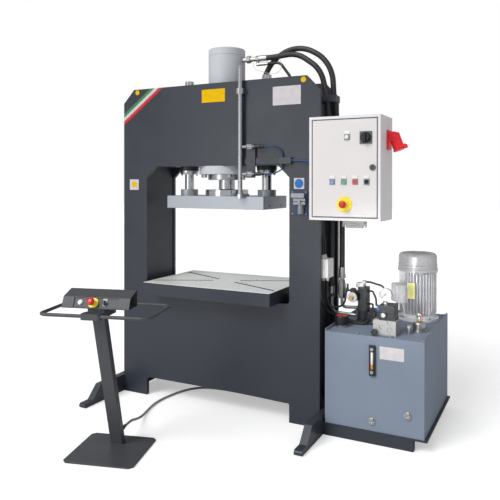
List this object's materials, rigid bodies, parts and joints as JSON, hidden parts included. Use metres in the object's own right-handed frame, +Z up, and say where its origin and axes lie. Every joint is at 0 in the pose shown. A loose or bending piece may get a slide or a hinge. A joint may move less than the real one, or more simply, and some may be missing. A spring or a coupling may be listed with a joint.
{
  "type": "hydraulic press",
  "caption": "Two-column hydraulic press with slotted table, guided platen, power unit, control cabinet and two-hand console",
  "frame": {"origin": "on the floor, under the middle of the bounding box of the whole machine without its loose cable", "axes": "+Z up, +X to the operator's right towards the power unit, +Y away from the operator"},
  "size_m": [2.085, 1.7968, 2.288],
  "materials": {
    "frame_paint": "satin",
    "machined_steel": "brushed",
    "cylinder_paint": "satin",
    "ground_steel": "brushed",
    "platen_steel": "satin",
    "chromed_rod": "polished",
    "black_screws": "satin",
    "black_plastic": "matte",
    "cable_cover": "matte",
    "hose_rubber": "matte",
    "zinc_plated": "satin",
    "cabinet_paint": "satin",
    "red_plastic": "gloss",
    "blue_plastic": "gloss",
    "green_plastic": "gloss",
    "cast_grey": "satin",
    "tank_paint": "satin",
    "motor_aluminium": "satin",
    "manifold_aluminium": "brushed",
    "valve_black": "satin",
    "console_paint": "satin"
  },
  "bodies": {
    "machine": {"ball_valve": "zinc_plated", "cabinet_case": "cabinet_paint", "console_cable": "cable_cover", "control_valves": "valve_black", "cylinder": "cylinder_paint", "feet": "frame_paint", "filler_neck": "zinc_plated", "frame_webs": "frame_paint", "front_plate": "frame_paint", "gauge_case": "zinc_plated", "guide_bushes": "ground_steel", "junction_box": "cabinet_paint", "level_gauge": "black_plastic", "machine_screws": "zinc_plated", "motor_body": "motor_aluminium", "motor_fan_cover": "motor_aluminium", "multipole_connector": "cast_grey", "oil_tank": "tank_paint", "power_inlet": "red_plastic", "pressure_hoses": "hose_rubber", "pump_unit": "motor_aluminium", "rear_plate": "frame_paint", "signal_cables": "cable_cover", "solenoid": "black_plastic", "steel_fittings": "zinc_plated", "stroke_sensors": "black_plastic", "switchgear": "black_plastic", "tank_lid": "tank_paint", "tank_tray": "frame_paint", "valve_block": "manifold_aluminium", "work_table": "machined_steel", "pedestal": "console_paint", "console_box": "console_paint", "guard_rail": "console_paint"},
    "ram": {"platen": "platen_steel", "piston_rod": "chromed_rod", "guide_columns": "chromed_rod", "stroke_rod": "ground_steel", "ram_screws": "zinc_plated"},
    "door": {"cabinet_door": "cabinet_paint", "door_devices": "black_plastic"},
    "main_switch_body": {"main_switch": "black_plastic"},
    "door_lock_body": {"door_lock": "zinc_plated"},
    "blue_button_body": {"blue_button": "blue_plastic"},
    "green_button_body": {"green_button": "green_plastic"},
    "red_button_body": {"red_button": "red_plastic"},
    "door_selector_body": {"door_selector": "black_plastic"},
    "door_stop_body": {"door_stop": "red_plastic"},
    "inlet_flap_body": {"inlet_flap": "red_plastic"},
    "console_stop_body": {"console_stop": "red_plastic"},
    "console_selector_body": {"console_selector": "black_plastic"},
    "left_palm_button_body": {"left_palm_button": "black_plastic"},
    "right_palm_button_body": {"right_palm_button": "black_plastic"},
    "motor_rotor_body": {"motor_rotor": "ground_steel"},
    "filler_cap_body": {"filler_cap": "black_plastic"},
    "gauge_needle_body": {"gauge_needle": "black_screws"},
    "flow_knob_body": {"flow_knob": "blue_plastic"},
    "pressure_knob_body": {"pressure_knob": "zinc_plated"},
    "hand_knob_body": {"hand_knob": "black_plastic"},
    "valve_lever_body": {"valve_lever": "black_plastic"}
  },
  "joints": [
    {"name": "ram_slide", "type": "slide", "parent": "machine", "child": "ram", "axis": [0, 0, -1], "range_m": [0, 0.15]},
    {"name": "door_hinge", "type": "hinge", "parent": "machine", "child": "door", "pos_m": [0.458, -0.02055, 1.499], "axis": [0, 0, -1], "range_deg": [0, 110]},
    {"name": "main_switch_turn", "type": "hinge", "parent": "door", "child": "main_switch_body", "pos_m": [0.7495, -0.03755, 1.659], "axis": [0, 1, 0], "range_deg": [0, 90]},
    {"name": "door_lock_turn", "type": "hinge", "parent": "door", "child": "door_lock_body", "pos_m": [0.7855, -0.02555, 1.502], "axis": [0, 1, 0], "range_deg": [0, 90]},
    {"name": "blue_button_press", "type": "slide", "parent": "door", "child": "blue_button_body", "axis": [0, 1, 0], "range_m": [0, 0.004], "stiffness_N_per_m": 250},
    {"name": "green_button_press", "type": "slide", "parent": "door", "child": "green_button_body", "axis": [0, 1, 0], "range_m": [0, 0.004], "stiffness_N_per_m": 250},
    {"name": "red_button_press", "type": "slide", "parent": "door", "child": "red_button_body", "axis": [0, 1, 0], "range_m": [0, 0.004], "stiffness_N_per_m": 250},
    {"name": "door_selector_turn", "type": "hinge", "parent": "door", "child": "door_selector_body", "pos_m": [0.7535, -0.02855, 1.427], "axis": [0, 1, 0], "range_deg": [0, 90]},
    {"name": "door_stop_press", "type": "slide", "parent": "door", "child": "door_stop_body", "axis": [0, 1, 0], "range_m": [0, 0.005]},
    {"name": "inlet_flap_hinge", "type": "hinge", "parent": "machine", "child": "inlet_flap_body", "pos_m": [0.92404, 0.12945, 1.6152], "axis": [0, -1, 0], "range_deg": [0, 100], "stiffness_Nm_per_rad": 0.3},
    {"name": "console_stop_press", "type": "slide", "parent": "machine", "child": "console_stop_body", "axis": [-0.2492, 0.8807, -0.4027], "range_m": [0, 0.005]},
    {"name": "console_selector_turn", "type": "hinge", "parent": "machine", "child": "console_selector_body", "pos_m": [-0.36622, -0.7646, 0.81899], "axis": [0.2492, -0.8807, 0.4027], "range_deg": [-45, 45]},
    {"name": "left_palm_press", "type": "slide", "parent": "machine", "child": "left_palm_button_body", "axis": [0.9622, 0.2723, 0], "range_m": [0, 0.004], "stiffness_N_per_m": 600},
    {"name": "right_palm_press", "type": "slide", "parent": "machine", "child": "right_palm_button_body", "axis": [-0.9622, -0.2723, 0], "range_m": [0, 0.004], "stiffness_N_per_m": 600},
    {"name": "motor_shaft_turn", "type": "hinge", "parent": "machine", "child": "motor_rotor_body", "pos_m": [0.8775, 0.66945, 0.882], "axis": [0, 0, 1], "continuous": true},
    {"name": "filler_cap_lift", "type": "slide", "parent": "machine", "child": "filler_cap_body", "axis": [0, 0, 1], "range_m": [0, 0.06]},
    {"name": "gauge_needle_turn", "type": "hinge", "parent": "machine", "child": "gauge_needle_body", "pos_m": [0.8005, 0.18045, 0.806], "axis": [0, 1, 0], "range_deg": [0, 270]},
    {"name": "flow_knob_turn", "type": "hinge", "parent": "machine", "child": "flow_knob_body", "pos_m": [0.7595, 0.18945, 0.712], "axis": [0, 0, 1], "range_deg": [-170, 170]},
    {"name": "pressure_knob_turn", "type": "hinge", "parent": "machine", "child": "pressure_knob_body", "pos_m": [0.8025, 0.14445, 0.702], "axis": [0, 1, 0], "range_deg": [-170, 170]},
    {"name": "hand_knob_turn", "type": "hinge", "parent": "machine", "child": "hand_knob_body", "pos_m": [0.7545, 0.14445, 0.607], "axis": [0, 1, 0], "range_deg": [0, 340]},
    {"name": "valve_lever_turn", "type": "hinge", "parent": "machine", "child": "valve_lever_body", "pos_m": [0.4995, 0.43145, 0.7725], "axis": [1, 0, 0], "range_deg": [0, 90]}
  ]
}
